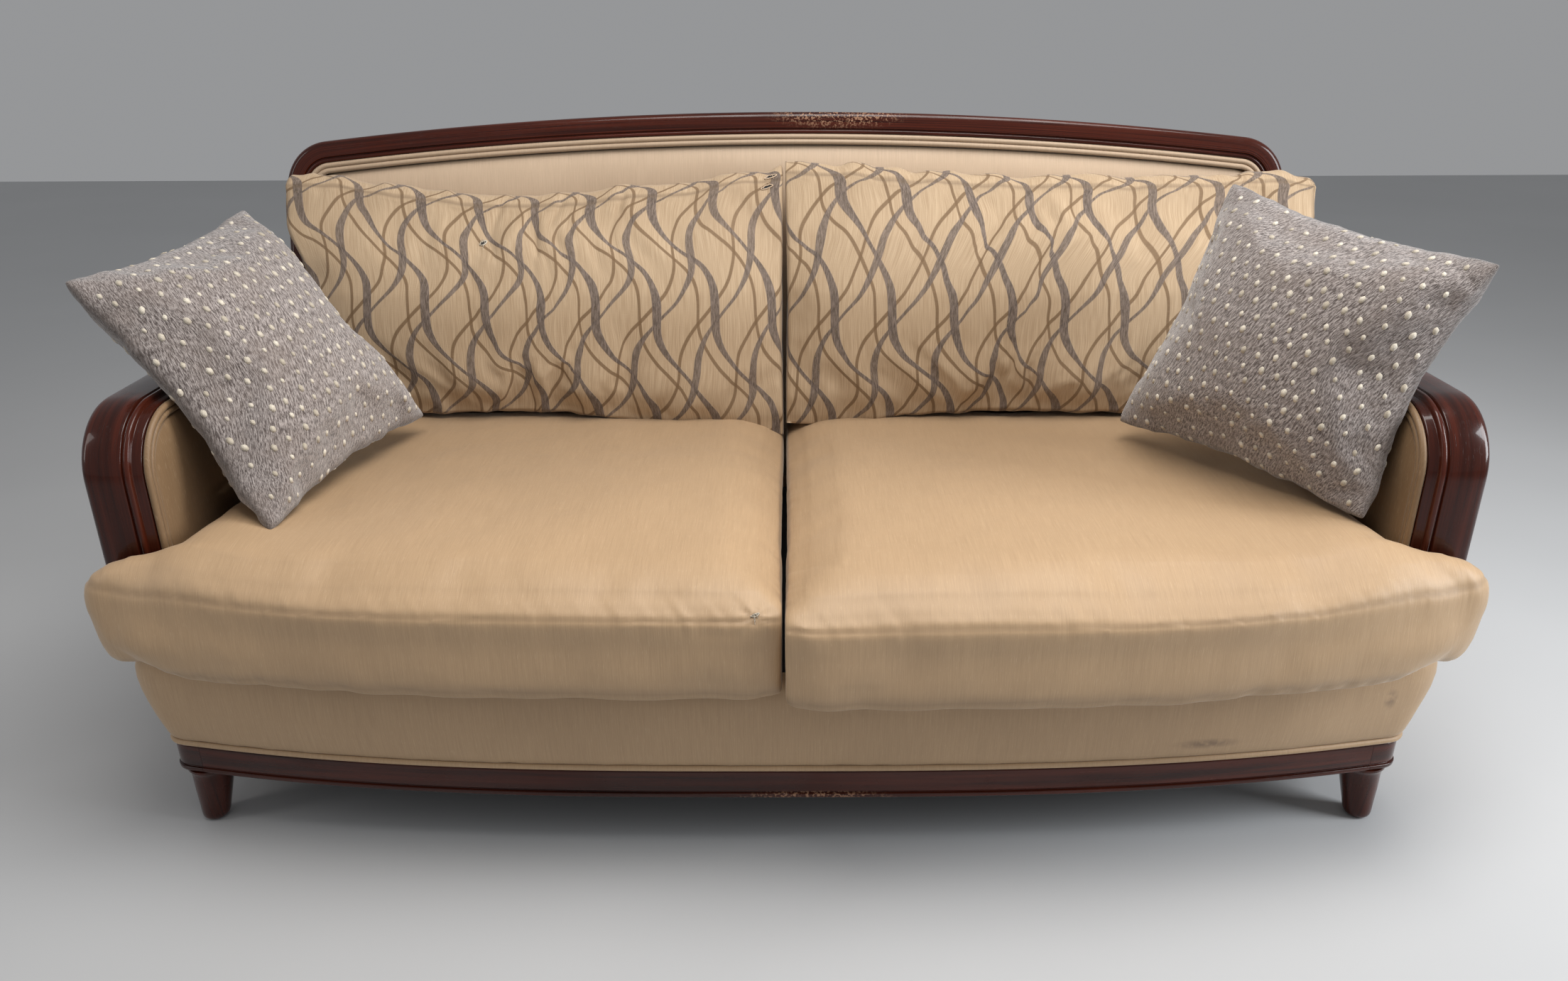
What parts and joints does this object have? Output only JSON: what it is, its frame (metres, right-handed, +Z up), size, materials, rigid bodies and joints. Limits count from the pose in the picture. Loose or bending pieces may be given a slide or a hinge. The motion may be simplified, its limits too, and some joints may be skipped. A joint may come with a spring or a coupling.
{
  "type": "sofa",
  "caption": "Two-seat show-wood sofa: arched timber back, hooped timber arms, bowed base on tapered feet, loose seat and back cushions, throw pillows; light wear.",
  "frame": {"origin": "on the floor, under the middle of the sofa's width and depth", "axes": "+X to the right as seen from the front, -Y out of the front, +Z up"},
  "size_m": [1.914, 0.9842, 0.9785],
  "materials": {
    "mahogany": "dark red-brown, polished, worn along the edges",
    "beech": "planed, unpolished",
    "plywood": "unfinished board",
    "tan_cloth": "tan satin weave with fine upright streaks",
    "wavy_cloth": "beige figured weave with a wavy ribbon pattern",
    "pillow_cloth": "taupe pile with small cream dots",
    "lining": "thin black lining",
    "webbing": "woven elastic webbing"
  },
  "bodies": {
    "root": {"arm_band_left": "mahogany", "arm_band_right": "mahogany", "arm_board_left": "plywood", "arm_board_right": "plywood", "arm_outer_panel_left": "tan_cloth", "arm_outer_panel_right": "tan_cloth", "arm_pad_left": "tan_cloth", "arm_pad_right": "tan_cloth", "arm_post_left": "beech", "arm_post_right": "beech", "arm_welt_left": "tan_cloth", "arm_welt_right": "tan_cloth", "back_cushion_left": "wavy_cloth", "back_cushion_right": "wavy_cloth", "back_inner_pad": "tan_cloth", "back_muntin": "beech", "back_outer_panel": "tan_cloth", "back_post_left": "mahogany", "back_post_right": "mahogany", "back_rail_lower": "beech", "back_strap_1": "webbing", "back_strap_2": "webbing", "back_strap_3": "webbing", "back_welt": "tan_cloth", "base_border_back": "tan_cloth", "base_border_front": "tan_cloth", "base_border_left": "tan_cloth", "base_border_right": "tan_cloth", "base_welt": "tan_cloth", "corner_block_back_left": "beech", "corner_block_back_right": "beech", "corner_block_front_left": "beech", "corner_block_front_right": "beech", "crest_rail": "mahogany", "dust_cover": "lining", "foot_back_left": "mahogany", "foot_back_right": "mahogany", "foot_front_left": "mahogany", "foot_front_right": "mahogany", "plinth_back": "mahogany", "plinth_front": "mahogany", "plinth_left": "mahogany", "plinth_right": "mahogany", "seat_bearer": "beech", "seat_cushion_left": "tan_cloth", "seat_cushion_right": "tan_cloth", "seat_deck": "lining", "seat_rail_back": "beech", "seat_rail_front": "beech", "seat_rail_left": "beech", "seat_rail_right": "beech", "seat_strap_1": "webbing", "seat_strap_2": "webbing", "seat_strap_3": "webbing", "seat_strap_4": "webbing", "seat_strap_5": "webbing", "seat_strap_6": "webbing", "throw_pillow_left": "pillow_cloth", "throw_pillow_right": "pillow_cloth"}
  },
  "joints": []
}
